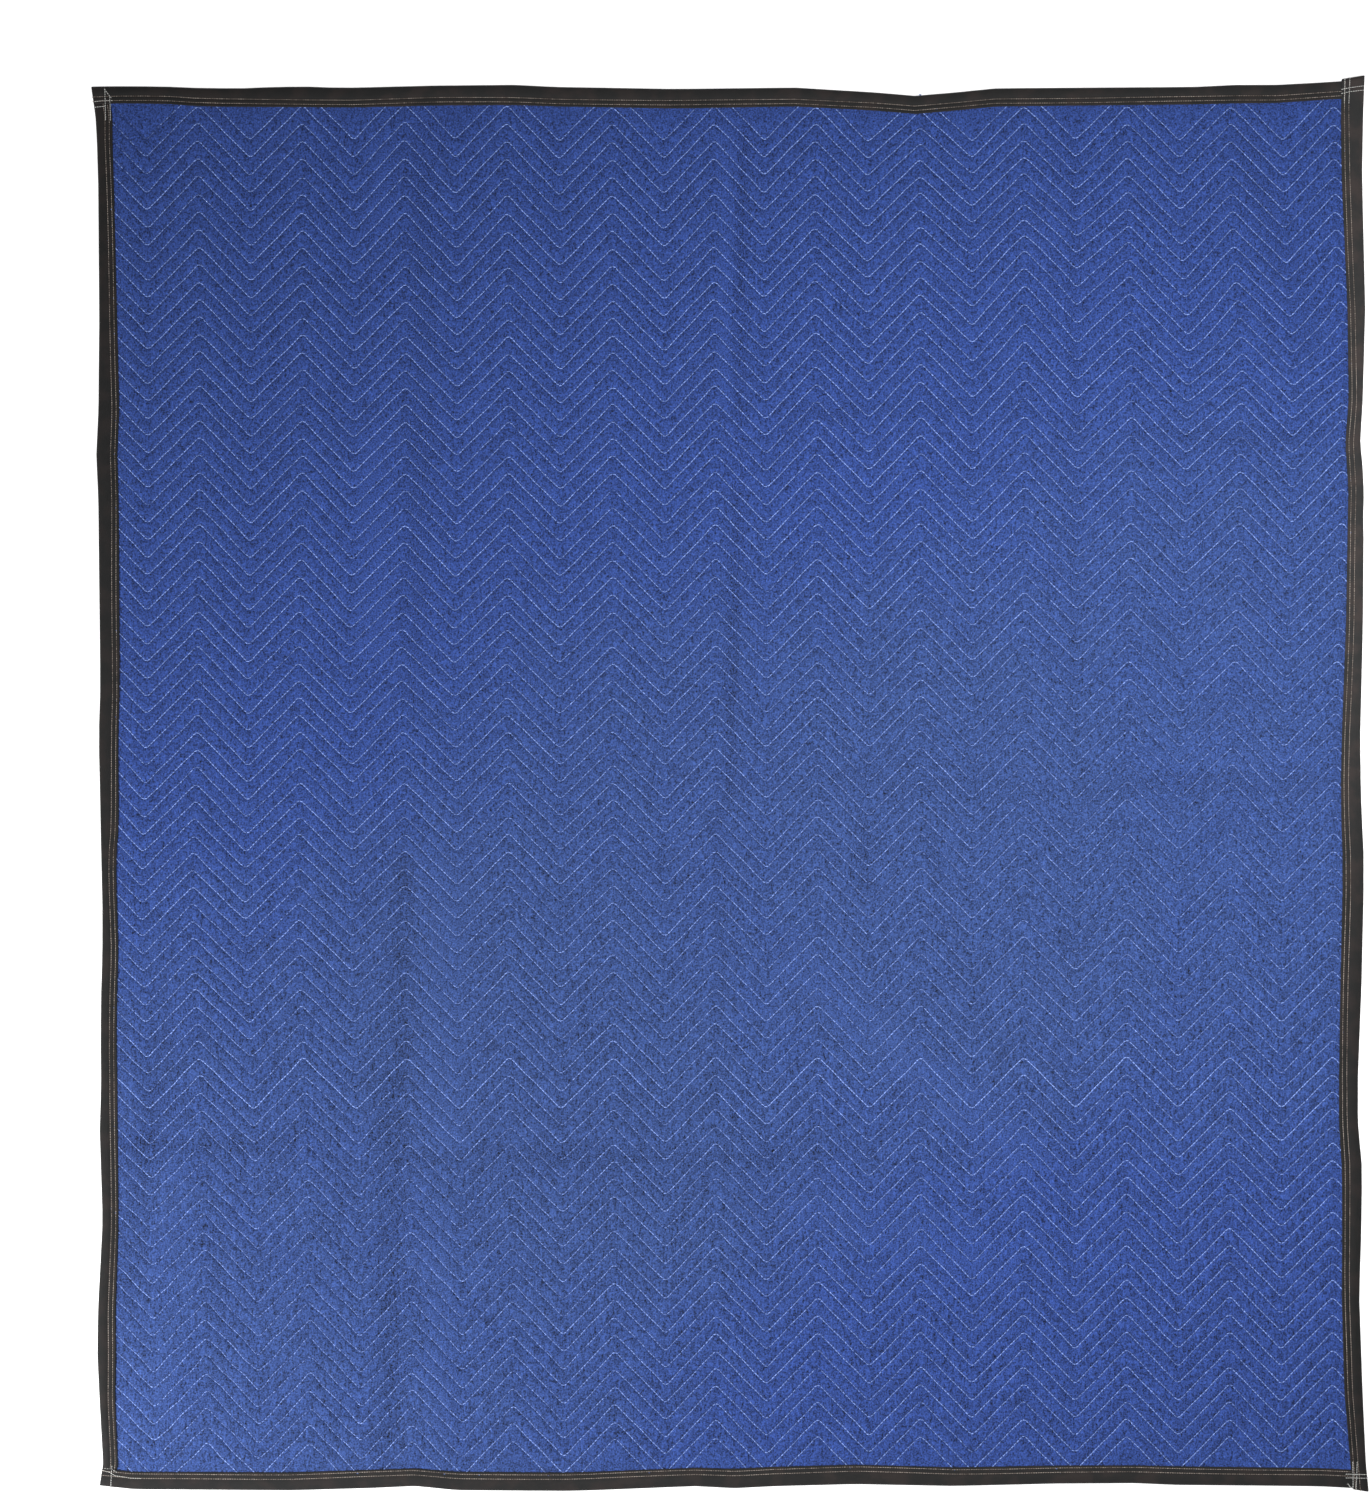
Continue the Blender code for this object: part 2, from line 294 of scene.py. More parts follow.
def tape_finish():
    material, start, shader = new_finish("black binding tape", 0.72, sheen=0.1)
    place = place_of(start)
    x = start.add("ShaderNodeSeparateXYZ", values={"Vector": place}, output="X")
    y = start.add("ShaderNodeSeparateXYZ", values={"Vector": place}, output="Y")
    ribs = start.math("SINE", (x + y) * (RIBS_A_METRE * math.tau))
    rubbed = noise(place, *RUBS)
    speckle = noise(place, *SPECKLE)
    black = blended(start, between(rubbed, *BROWN), TAPE_BLACK, TAPE_BROWN)
    tone = 0.72 + 0.3 * speckle + 0.26 * rubbed
    # Painted light on the upper half of the right tape, painted shade on its lower half and along the left
    # side.
    painted_light_and_shade_right = between(x, *RIGHT_TAPE) * (RIGHT_PAINTED_LIGHT * between(y, *LIT_HALF) - PAINTED_SHADE)
    painted_shade_left = (1 - between(x, *LEFT_SIDE)) * between(y, *UP_FROM_BOTTOM) * -PAINTED_SHADE
    tone = tone * (1 + (painted_light_and_shade_right + painted_shade_left))
    feed(blended(start, 1.0, black, shade(tone), "MULTIPLY"), shader, "Base Color")
    height = ribs * 0.10 + noise(place, *TAPE_CREASES) * 0.7 + speckle * 0.2
    feed(bumped(start, height, TAPE_RELIEF * MM), shader, "Normal")
    return material


FLECKS = (200, 1.0)
FLECK_CONTRAST = 2.0
TWIST = (2500, 1.0)
THREAD_RELIEF = 0.15


def thread_finish(name, dull, bright):
    """A thread that goes from dull to bright with the tone stored on its piece."""
    material, start, shader = new_finish(name, 0.6)
    place = place_of(start)
    tone = start.add("ShaderNodeAttribute", {"attribute_name": "tone"}, output="Fac")
    flecks = (noise(place, *FLECKS) - 0.5) * FLECK_CONTRAST
    feed(blended(start, tone + flecks, dull, bright), shader, "Base Color")
    feed(bumped(start, noise(place, *TWIST), THREAD_RELIEF * MM), shader, "Normal")
    return material


tape = tape_finish()
quilting_thread = thread_finish("quilting thread", (0.03, 0.065, 0.24, 1), (0.31, 0.46, 1.0, 1))
tan_thread = thread_finish("tan binding thread", (0.13, 0.10, 0.085, 1), (0.58, 0.50, 0.44, 1))
white_thread = thread_finish("white corner thread", (0.55, 0.55, 0.53, 1), (0.88, 0.88, 0.85, 1))
print("finishes made:", ", ".join(made.name for made in (tape, quilting_thread, tan_thread, white_thread)))

# %% [markdown]
# ## Where the tapes lie
#
# The tapes of the frame were made from sections along each edge. Their points stand in groups across the
# tape, one group for each section. In each group the furthest point out at mid height is on the fold, and
# the furthest in on top is on the tape's inner edge. Two lines through those points say all that the finer
# tape needs to know: where it folds, and how wide it is on the face. The lines stay in millimetres. The
# frame's tapes run straight over long stretches where the real ones bow a little, so a short table of
# bows then moves the lines by up to four millimetres, as the photograph shows.

# %% The tapes' edges, from the frame
# The least gap between two sections, how near two heights count as one, and how far in from the fold
# the inner edge lies at least, all in millimetres.
SECTION_GAP = 6.0
SAME_HEIGHT = 0.05
NARROWEST = 15
POINTS_A_LINE = 90
BOW_STEEPNESS = 4
EdgeLines = collections.namedtuple("EdgeLines", "fold inner")
# A bow moves the fold outwards and the inner edge inwards by millimetres, around one place along a tape.
Bow = collections.namedtuple("Bow", "at reach fold inner")
BOWS = {
    "binding_top": (Bow(-870, 75, 2.2, -3.8), Bow(-640, 50, 1.8, 0)),
    "binding_bottom": (Bow(-60, 720, 3.0, -1.0),),
    "binding_left": (
        Bow(0, 800, 1.2, 0.8),
        Bow(60, 60, 1.8, -1.2),
        Bow(-340, 70, 1.2, -1.6),
        Bow(-120, 40, 0, -2),
    ),
    "binding_right": (
        Bow(50, 820, 1.9, -0.5),
        Bow(-620, 80, 1.4, -0.8),
        Bow(445, 45, 2.2, -0.6),
        Bow(-20, 60, -1.2, 1.6),
    ),
}


def outermost(points, along, across, outward):
    """The furthest point out in each group of points along a tape."""
    points = points[np.argsort(points[:, along])]
    starts = np.flatnonzero(np.diff(points[:, along]) > SECTION_GAP) + 1
    groups = np.split(points, starts)
    return np.array([max(group, key=lambda point: outward * point[across]) for group in groups])


def finer(points):
    """The same line on the floor plane, with its points closer together."""
    steps = np.linspace(0, len(points) - 1, POINTS_A_LINE)
    return np.stack([np.interp(steps, range(len(points)), points[:, axis]) for axis in (0, 1)], axis=1)


def edge_lines(node, along, outward):
    """The fold line and the inner edge of a tape of the frame, as two rows of points.

    The frame leaves out a point that lies straight between its neighbours, so the inner edge is read
    where it has points and filled in between them.
    """
    across = 1 - along
    points = np.array([vert.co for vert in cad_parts[node].data.vertices]) / MM
    top = points[:, 2].max()
    fold = outermost(points[abs(points[:, 2] - top / 2) < SAME_HEIGHT], along, across, outward)
    on_top = points[abs(points[:, 2] - top) < SAME_HEIGHT]
    depth = outward * (np.interp(on_top[:, along], fold[:, along], fold[:, across]) - on_top[:, across])
    edge = outermost(on_top[depth > NARROWEST], along, across, -outward)
    inner = fold.copy()
    inner[:, across] = np.interp(fold[:, along], edge[:, along], edge[:, across])
    inner[0] = edge[0]
    inner[-1] = edge[-1]
    fold = finer(fold)
    inner = finer(inner)
    for bow in BOWS[node]:
        share = np.exp(-(((fold[:, along] - bow.at) / bow.reach) ** BOW_STEEPNESS))
        fold[:, across] += outward * bow.fold * share
        inner[:, across] -= outward * bow.inner * share
    return EdgeLines(fold, inner)


TOP = edge_lines("binding_top", 0, 1)
BOTTOM = edge_lines("binding_bottom", 0, -1)
LEFT = edge_lines("binding_left", 1, -1)
RIGHT = edge_lines("binding_right", 1, 1)
for name, lines in (("top", TOP), ("bottom", BOTTOM), ("left", LEFT), ("right", RIGHT)):
    width = np.linalg.norm(lines.fold - lines.inner, axis=1)
    print(f"{name} tape: {width.min():.0f} to {width.max():.0f} mm wide on the face")


def inside_tapes(x, y):
    """How far places on the face lie inside the nearest tape's inner edge, in millimetres."""
    return np.minimum.reduce((
        np.interp(x, *TOP.inner.T) - y,
        y - np.interp(x, *BOTTOM.inner.T),
        x - np.interp(y, *LEFT.inner.T[::-1]),
        np.interp(y, *RIGHT.inner.T[::-1]) - x,
    ))


# %% [markdown]
# ## How the quilting runs
#
# Every row of stitching is the same zigzag, an inch below the one before. Its turns are three inches
# apart, and a needle can't turn on a point, so each turn is a small curve. A real blanket has been folded,
# washed and pulled, and its rows wander by a few millimetres. A short table of pulls bends the even
# zigzag to where the rows lie in the photograph, and a table of creases holds the marks of folding.
# All sizes are in millimetres.

# %% The zigzag
ROW_PITCH = 25.26
HALF_WAVE = 75.4
WAVE_RISE = 72.0
FIRST_TURN = -852.0
FIRST_ROW = 986.5
STITCHED_ROWS = range(-1, 78)
# The part of a half wave, on each side of a turn, that is rounded.
TURN_ROUND = 0.055
# The rows wander by a sine of turn and row. Around one place at the lower left it grows to threefold.
WANDER = 0.6
WANDER_BY_TURN = 11
WANDER_BY_ROW = 2.4
RESTLESS_X = -700
RESTLESS_Y = -760
RESTLESS_REACH = 300
RESTLESS_EXTRA = 2

# A pull moves the cloth right and up around one place, and is as wide and as high as it says.
Pull = collections.namedtuple("Pull", "x y wide high right up")
PULLS = (
    Pull(0, 960, 1500, 130, 0, 4),
    Pull(-830, 950, 150, 120, -3, 2),
    Pull(-450, 1010, 160, 160, 0, 5),
    Pull(-360, 930, 130, 150, -3, 0),
    Pull(270, 990, 90, 90, 0, -7),
    Pull(100, 800, 150, 250, -4, 0),
    Pull(-370, 710, 280, 280, 0, -5),
    Pull(450, 750, 110, 110, 0, 14),
    Pull(430, 660, 260, 170, 0, 8),
    Pull(690, 640, 90, 90, 8, -8),
    Pull(880, 640, 70, 70, 8, -11),
    Pull(800, 450, 280, 380, 11, 0),
    Pull(790, 480, 160, 240, 6, 0),
    Pull(-400, 220, 600, 200, 0, -4),
    Pull(-540, 190, 240, 150, -6, 0),
    Pull(-110, 0, 120, 1200, 3, 0),
    Pull(-820, -60, 150, 150, 0, -3),
    Pull(-780, -170, 190, 190, -10, 0),
    Pull(330, -430, 110, 90, 0, -3),
    Pull(-600, -640, 330, 220, 7, 0),
    Pull(780, -680, 200, 180, 0, 2.5),
    Pull(400, -700, 500, 500, 0, 3),
    Pull(-780, -980, 250, 250, 9, -7),
    Pull(-420, -1000, 300, 300, 7, -5),
)


def stitched_place(turn, down):
    """Where a point of the zigzag lies: turns across the width, and rows down from the first."""
    from_turn = abs(turn - np.rint(turn))
    rounded = np.where(from_turn < TURN_ROUND, (from_turn**2 / TURN_ROUND + TURN_ROUND) / 2, from_turn)
    rounded = (rounded - TURN_ROUND / 2) / (1 - TURN_ROUND)
    fall = np.where(np.rint(turn) % 2 == 1, rounded, 1 - rounded)
    x = FIRST_TURN + turn * HALF_WAVE
    y = FIRST_ROW - down * ROW_PITCH - WAVE_RISE * fall
    restless = np.exp(-((x - RESTLESS_X) ** 2 + (y - RESTLESS_Y) ** 2) / RESTLESS_REACH**2)
    swing = np.sin(turn * WANDER_BY_TURN + down * WANDER_BY_ROW)
    y = y + WANDER * (1 + RESTLESS_EXTRA * restless) * swing
    right = 0
    up = 0
    for pull in PULLS:
        share = np.exp(-(((x - pull.x) / pull.wide) ** 2) - ((y - pull.y) / pull.high) ** 2)
        right = right + pull.right * share
        up = up + pull.up * share
    return x + right, y + up


# %% The creases
# A crease is a straight trough between two places, or a ridge where its lift is above 0.
Crease = collections.namedtuple("Crease", "x1 y1 x2 y2 width lift")
CREASES = (
    Crease(22, 950, 14, 720, 6, -3.1),
    Crease(14, 720, 14, 530, 8, -2.4),
    Crease(-6, 950, -8, 560, 10, 2.2),
    Crease(-32, 945, -32, 560, 8, -0.8),
    Crease(11, 430, 0, -20, 9, -3.0),
    Crease(-14, -20, -18, -460, 10, -1.0),
    Crease(-449, 955, -450, 510, 20, -1.2),
    Crease(-509, 930, -505, 820, 20, 1.2),
    Crease(-455, 510, -462, 120, 18, -1.3),
    Crease(-524, 500, -515, 200, 24, 1.3),
    Crease(-481, -110, -482, -430, 15, -2.6),
    Crease(-417, -130, -410, -540, 34, 1.4),
    Crease(-493, -430, -493, -985, 19, -2.7),
    Crease(-425, -620, -420, -930, 26, 1.2),
    Crease(502, 955, 502, 35, 6, -1.5),
    Crease(473, 550, 473, 80, 4, -0.6),
    Crease(488, -50, 502, -965, 7, -1.0),
    Crease(86, 545, 428, 560, 7, -2.0),
    Crease(600, 513, 860, 513, 7, -2.5),
    Crease(-880, 528, -510, 528, 10, -0.6),
    Crease(128, 14, 428, -18, 18, -1.1),
    Crease(513, -7, 860, 4, 12, -1.8),
    Crease(615, 40, 860, 42, 16, 0.9),
    Crease(-880, -526, -642, -531, 9, -3.0),
    Crease(-471, -546, 128, -542, 11, -2.3),
    Crease(128, -542, 428, -549, 9, -0.7),
    Crease(96, -264, 428, -542, 34, 1.7),
    Crease(115, -618, 395, -705, 30, 1.3),
    Crease(518, -564, 635, -622, 7, -2.0),
    Crease(755, 930, 850, 650, 24, -1.2),
    Crease(-828, -360, -880, -740, 20, -1.6),
    Crease(-749, -659, -749, -905, 11, -1.4),
    Crease(-817, -563, -822, -940, 26, 0.9),
    Crease(-690, -372, -690, -423, 5, -1.4),
    Crease(201, -60, 201, -157, 6, -3.0),
    Crease(302, -75, 302, -140, 6, -2.0),
    Crease(317, -75, 317, -140, 8, 1.6),
    Crease(353, 517, 353, 431, 5, -1.6),
)


def crease_lift(x, y):
    """How far the creases and soft waves lift the face, in millimetres."""
    lift = 0
    for crease in CREASES:
        run_x = crease.x2 - crease.x1
        run_y = crease.y2 - crease.y1
        along = (x - crease.x1) * run_x + (y - crease.y1) * run_y
        share = np.clip(along / (run_x**2 + run_y**2), 0, 1)
        away = np.hypot(x - crease.x1 - share * run_x, y - crease.y1 - share * run_y)
        lift = lift + crease.lift * np.exp(-((away / crease.width) ** 2))
    return lift


print(f"{len(PULLS)} pulls and {len(CREASES)} creases")

# %% [markdown]
# ## The pad
#
# The pad could be a flat plate with the quilting as bump, but then its edge and its back would look like
# card. Here it is a real quilt: a grid whose rows of points run along the zigzag, close together at the
# seams, where the cloth dives to the stitches, and wider apart on the round of each puff. The grid is laid
# out larger than the blanket and cut off straight, inside the tapes where the cut doesn't show. The
# underside is a second, coarser grid of the same quilting.

# %% Heights of the pad
# Heights above the floor: of the face at its seams, on its puffs and in its deepest crease, of the face
# and the underside under the tapes, and of the underside at its seams. The last size is how far from a
# tape the pad takes to rise.
SEAM_HEIGHT = 3.7
LOFT = 5.7
THINNEST = 2.4
PRESSED_TOP = 3.3
PRESSED_UNDER = 1.1
SEAM_UNDER = 1.3
PRESS_REACH = 15
PUFF_STEEPNESS = 5


def puff(down):
    """0 on a row of stitching and 1 midway between two, rising steeply out of the seam."""
    nearest = np.clip(np.rint(down), STITCHED_ROWS[0], STITCHED_ROWS[-1])
    away = np.minimum(abs(down - nearest), 0.5)
    return 1 - (1 - 2 * away) ** PUFF_STEEPNESS


def ease(value):
    """0 up to 0, 1 from 1, and a soft step between them."""
    share = np.clip(value, 0, 1)
    return share * share * (3 - 2 * share)


def pressed(x, y):
    """0 under the tapes, and 1 where the pad has risen to its full height beside them."""
    return ease(inside_tapes(x, y) / PRESS_REACH)


def face_height(x, y, down):
    free = SEAM_HEIGHT + (LOFT - SEAM_HEIGHT) * puff(down) + crease_lift(x, y)
    return PRESSED_TOP + (np.maximum(free, THINNEST) - PRESSED_TOP) * pressed(x, y)


def underside_height(x, y, down):
    free = SEAM_UNDER * (1 - puff(down))
    return PRESSED_UNDER + (free - PRESSED_UNDER) * pressed(x, y)


# %% A sheet of quilting
def quilted_sheet(turns, downs, height):
    """A grid of cloth whose points follow the zigzag. Each keeps its puff, row and crease as quilting."""
    bm = bmesh.new()
    bmesh.ops.create_grid(bm, x_segments=len(turns) - 1, y_segments=len(downs) - 1, size=0.5)
    mesh = bpy.data.meshes.new("sheet")
    bm.to_mesh(mesh)
    flat = np.empty(len(mesh.vertices) * 3, np.float32)
    mesh.vertices.foreach_get("co", flat)
    flat = flat.reshape(-1, 3) + 0.5
    turn = np.array(turns)[np.rint(flat[:, 0] * (len(turns) - 1)).astype(int)]
    down = np.array(downs)[::-1][np.rint(flat[:, 1] * (len(downs) - 1)).astype(int)]
    x, y = stitched_place(turn, down)
    points = np.stack((x, y, height(x, y, down)), axis=1) * MM
    mesh.vertices.foreach_set("co", points.ravel())
    kept = mesh.attributes.new("quilting", "FLOAT_VECTOR", "POINT")
    kept.data.foreach_set("vector", np.stack((puff(down), down, crease_lift(x, y)), axis=1).ravel())
    bm.clear()
    bm.from_mesh(mesh)
    bpy.data.meshes.remove(mesh)
    return bm


# %% Cutting the sheets to size
RIM = {"left": -910, "right": 910, "bottom": -1012, "top": 1002}
RIM_PLANES = (
    ((RIM["left"] * MM, 0, 0), (-1, 0, 0)),
    ((RIM["right"] * MM, 0, 0), (1, 0, 0)),
    ((0, RIM["bottom"] * MM, 0), (0, -1, 0)),
    ((0, RIM["top"] * MM, 0), (0, 1, 0)),
)


def cut_to_rim(bm):
    for place, outward in RIM_PLANES:
        everything = bm.verts[:] + bm.edges[:] + bm.faces[:]
        bmesh.ops.bisect_plane(bm, geom=everything, plane_co=place, plane_no=outward, clear_outer=True)


# The grid has a column at each share of every half wave, and more at the two sharpest upright creases.
TURNS = range(-1, 25)
ACROSS_A_HALF_WAVE = (0, 0.045, 0.10, 0.28, 0.5, 0.72, 0.90, 0.955)
UPRIGHT_CREASES = [11.36, 11.40, 11.48, 11.53, 11.57, 11.61, 11.65, 17.87, 17.91, 17.94, 17.98]
ROWS = range(-6, 82)
DOWN_A_ROW = (0, 0.07, 0.25, 0.75, 0.93)

even_turns = [turn + share for turn in TURNS for share in ACROSS_A_HALF_WAVE]
face_turns = sorted(even_turns + UPRIGHT_CREASES)
face_downs = [row + share for row in ROWS for share in DOWN_A_ROW]
face = quilted_sheet(face_turns, face_downs, face_height)
cut_to_rim(face)
print("the face has", len(face.faces), "faces")

UNDER_A_HALF_WAVE = (0, 0.5)
UNDER_A_ROW = (0, 0.2, 0.8)
under_turns = [turn + share for turn in TURNS for share in UNDER_A_HALF_WAVE]
under_downs = [row + share for row in ROWS for share in UNDER_A_ROW]
underside = quilted_sheet(under_turns, under_downs, underside_height)
cut_to_rim(underside)
bmesh.ops.reverse_faces(underside, faces=underside.faces)
print("the underside has", len(underside.faces), "faces")


# %% Keeping the seams for the stitches
SAME_ROW = 1e-4


def seams_of(sheet):
    """A copy of a sheet that holds only the edges on its rows of stitching."""
    seams = sheet.copy()
    kept = seams.verts.layers.float_vector["quilting"]
    rest = []
    for edge in seams.edges:
        row = round(edge.verts[0][kept].y)
        if row not in STITCHED_ROWS or any(abs(vert[kept].y - row) > SAME_ROW for vert in edge.verts):
            rest.append(edge)
    bmesh.ops.delete(seams, geom=rest, context="EDGES")
    bmesh.ops.delete(seams, geom=seams.faces[:], context="FACES_ONLY")
    bmesh.ops.delete(seams, geom=[vert for vert in seams.verts if not vert.link_edges], context="VERTS")
    return seams


face_seams = seams_of(face)
under_seams = seams_of(underside)
print("the seams have", len(face_seams.edges), "edges on the face and", len(under_seams.edges), "below")

# %% [markdown]
# The two sheets are still loose. Their cut edges stand over each other on four upright planes, so a short
# edge at each corner closes a ring on each plane, and one face fills each ring. The filled faces lie
# inside the tapes. Each is turned to look outwards, because a recalculation can guess wrong on a shape
# as flat as this one.

# %% One closed pad
NEAR = 1e-6


def on_plane(vert, plane):
    place, outward = plane
    return abs(sum((value - at) * part for value, at, part in zip(vert.co, place, outward))) < NEAR


def closed_pad(upper, lower):
    bm = upper
    loose = bpy.data.meshes.new("underside")
    lower.to_mesh(loose)
    bm.from_mesh(loose)
    bpy.data.meshes.remove(loose)
    for side in RIM_PLANES[:2]:
        for end in RIM_PLANES[2:]:
            post = [vert for vert in bm.verts if on_plane(vert, side) and on_plane(vert, end)]
            bmesh.ops.contextual_create(bm, geom=post)
    for plane in RIM_PLANES:
        open_edges = [edge for edge in bm.edges if len(edge.link_faces) < 2]
        ring = [edge for edge in open_edges if all(on_plane(vert, plane) for vert in edge.verts)]
        wall = bmesh.ops.contextual_create(bm, geom=ring)["faces"]
        bmesh.ops.recalc_face_normals(bm, faces=wall)
        for one in wall:
            if one.normal.dot(plane[1]) < 0:
                one.normal_flip()
    return bm


def as_piece(bm, name, material):
    """Makes an object of a bmesh, shaded smooth."""
    mesh = bpy.data.meshes.new(name)
    bm.to_mesh(mesh)
    bm.free()
    mesh.shade_smooth()
    piece = bpy.data.objects.new(name, mesh)
    bpy.context.scene.collection.objects.link(piece)
    piece.data.materials.append(material)
    return piece


def triangles(piece):
    piece.data.calc_loop_triangles()
    return len(piece.data.loop_triangles)


SHARP_ANGLE = 60

quilted_cloth = as_piece(closed_pad(face, underside), "quilted_cloth", cloth)
quilted_cloth.data.set_sharp_from_angle(angle=math.radians(SHARP_ANGLE))
print("quilted_cloth:", triangles(quilted_cloth), "triangles")

# %% [markdown]
# ## The quilting stitches
#
# A seam could be a thin tube, but sewing is a row of short stitches, and from close by each one is a
# little bar of thread between two dips. One short bar is set every 5.6 mm along the seams by Geometry
# Nodes: the edges become curves, the curves are measured off in even steps, and each step carries a copy
# turned along the seam. The stitches of the tapes are fewer, so they can be rounder. A few rows show
# more thread than the rest, so each seam point first stores a tone for its row.

# %% The stitch and the nodes that sew it
# How far apart the stitches are and how large each is, in millimetres. Without rings they are bars.
Stitch = collections.namedtuple("Stitch", "pitch length width height rings")


def single_stitch(stitch, material):
    """One stitch along X: a short bar, or with rings a small ball drawn out long."""
    bm = bmesh.new()
    if stitch.rings:
        bmesh.ops.create_uvsphere(bm, u_segments=4, v_segments=stitch.rings, radius=0.5 * MM)
        bmesh.ops.rotate(bm, verts=bm.verts, matrix=mathutils.Matrix.Rotation(math.pi / 2, 3, "Y"))
    else:
        bmesh.ops.create_cube(bm, size=MM)
    bmesh.ops.scale(bm, verts=bm.verts, vec=(stitch.length, stitch.width, stitch.height))
    return as_piece(bm, "one_stitch", material)


def sewing_nodes(one, pitch):
    """Geometry Nodes that turn edges into a row of stitches, as one plain mesh."""
    tree = bpy.data.node_groups.new("sewing", "GeometryNodeTree")
    tree.interface.new_socket("Lines", in_out="INPUT", socket_type="NodeSocketGeometry")
    tree.interface.new_socket("Stitches", in_out="OUTPUT", socket_type="NodeSocketGeometry")
    start = Wire(tree)
    lines = start.add("NodeGroupInput")
    curves = start.add("GeometryNodeMeshToCurve", values={"Mesh": lines})
    spacing = {"Curve": curves, "Length": pitch * MM}
    steps = start.add("GeometryNodeResampleCurve", {"mode": "LENGTH"}, spacing)
    tangent = start.add("GeometryNodeInputTangent")
    upright = {"axis": "X", "pivot_axis": "Z"}
    turned = start.add("FunctionNodeAlignRotationToVector", upright, {"Vector": tangent})
    single = start.add("GeometryNodeObjectInfo", values={"Object": one}, output="Geometry")
    placing = {"Points": steps, "Instance": single, "Rotation": turned}
    placed = start.add("GeometryNodeInstanceOnPoints", values=placing)
    real = start.add("GeometryNodeRealizeInstances", values={"Geometry": placed})
    end = tree.nodes.new("NodeGroupOutput")
    tree.links.new(real.socket, end.inputs[0])
    return tree


def sewn(name, lines, stitch, material):
    """Sews along the edges of a bmesh, and returns the stitches as one piece."""
    guide = as_piece(lines, "guide", material)
    one = single_stitch(stitch, material)
    modifier = guide.modifiers.new("sewing", "NODES")
    modifier.node_group = sewing_nodes(one, stitch.pitch)
    bpy.context.view_layer.update()
    evaluated = guide.evaluated_get(bpy.context.evaluated_depsgraph_get())
    mesh = bpy.data.meshes.new_from_object(evaluated)
    mesh.name = name
    piece = bpy.data.objects.new(name, mesh)
    bpy.context.scene.collection.objects.link(piece)
    for helper in (guide, one):
        bpy.data.objects.remove(helper)
    bpy.data.node_groups.remove(bpy.data.node_groups["sewing"])
    print(f"{name}: {triangles(piece)} triangles")
    return piece


# %% Tones of the rows
BRIGHT_ROWS = {55: 0.95, 57: 0.72, 58: 0.66, 47: 0.66, 29: 0.7}
USUAL_TONE = 0.66
ROW_TURN = 2.4
ROW_SWING = 0.04
# Each swing along a row has its length in millimetres, its turn from row to row and its size.
SWINGS = ((190, 1.7, 0.06), (61, 0.9, 0.05))
# A fade takes so much away at its place, and less further from it.
Fade = collections.namedtuple("Fade", "x y reach by")
FADES = (
    Fade(700, 0, 450, 0.3),
    Fade(-150, -50, 600, 0.14),
    Fade(-650, -750, 380, 0.22),
    Fade(650, 800, 350, 0.1),
    Fade(200, -800, 600, 0.08),
    Fade(-880, 975, 60, 0.6),
)


def row_tone(row, x, y):
    """How much thread a row shows, from 0 to 1, changing slowly along it and fading in worn places."""
    tone = BRIGHT_ROWS.get(row, USUAL_TONE + math.sin(row * ROW_TURN + 1) * ROW_SWING)
    tone += sum(math.sin(x / length + row * turn) * size for length, turn, size in SWINGS)
    for fade in FADES:
        tone -= fade.by * math.exp(-((x - fade.x) ** 2 + (y - fade.y) ** 2) / fade.reach**2)
    return min(max(tone, 0), 1)


def store_tones(seams):
    """Stores on each seam point the tone of its row there."""
    kept = seams.verts.layers.float_vector["quilting"]
    tones = seams.verts.layers.float.new("tone")
    for vert in seams.verts:
        vert[tones] = row_tone(round(vert[kept].y), vert.co.x / MM, vert.co.y / MM)


def rows_of(seams, rows):
    """A copy of the seams with only some of the rows."""
    part = seams.copy()
    kept = part.verts.layers.float_vector["quilting"]
    other = [vert for vert in part.verts if round(vert[kept].y) not in rows]
    bmesh.ops.delete(part, geom=other, context="VERTS")
    return part


# %% Sewing the face
QUILTING = Stitch(pitch=5.6, length=4.8, width=1.4, height=0.9, rings=0)
THREAD_LIFT = 0.35
ROWS_A_PIECE = 27

store_tones(face_seams)
bmesh.ops.translate(face_seams, verts=face_seams.verts, vec=(0, 0, THREAD_LIFT * MM))
quilting_stitches = []
for name, first in (("upper", 0), ("middle", ROWS_A_PIECE), ("lower", 2 * ROWS_A_PIECE)):
    lines = rows_of(face_seams, STITCHED_ROWS[first:first + ROWS_A_PIECE])
    quilting_stitches.append(sewn("quilting_stitches_" + name, lines, QUILTING, quilting_thread))
face_seams.free()

# %% [markdown]
# The underside shows the bobbin thread, which lies along the seam as a nearly unbroken line. It is sewn
# with longer stitches that touch each other, so it takes far fewer of them.

# %% Sewing the underside
BOBBIN = Stitch(pitch=22.4, length=23.0, width=1.2, height=0.9, rings=0)

store_tones(under_seams)
bmesh.ops.translate(under_seams, verts=under_seams.verts, vec=(0, 0, -THREAD_LIFT * MM))
under_stitches = sewn("quilting_threads_underside", under_seams, BOBBIN, quilting_thread)

# %% [markdown]
# ## The binding tapes
#
# Each tape is a strip folded over the edge, so across it its outer face has one profile: from its inner
# edge over two sewn furrows and a soft roll to the fold, round the fold, and back under the pad. The
# profile is a short table. A grid has its rows on the profile and its columns along the tape, and its
# points are put between the fold line and the inner edge that were read from the frame. Solidify then
# gives the strip its thickness. The sewing draws the tape into small waves, which are sums of sines.

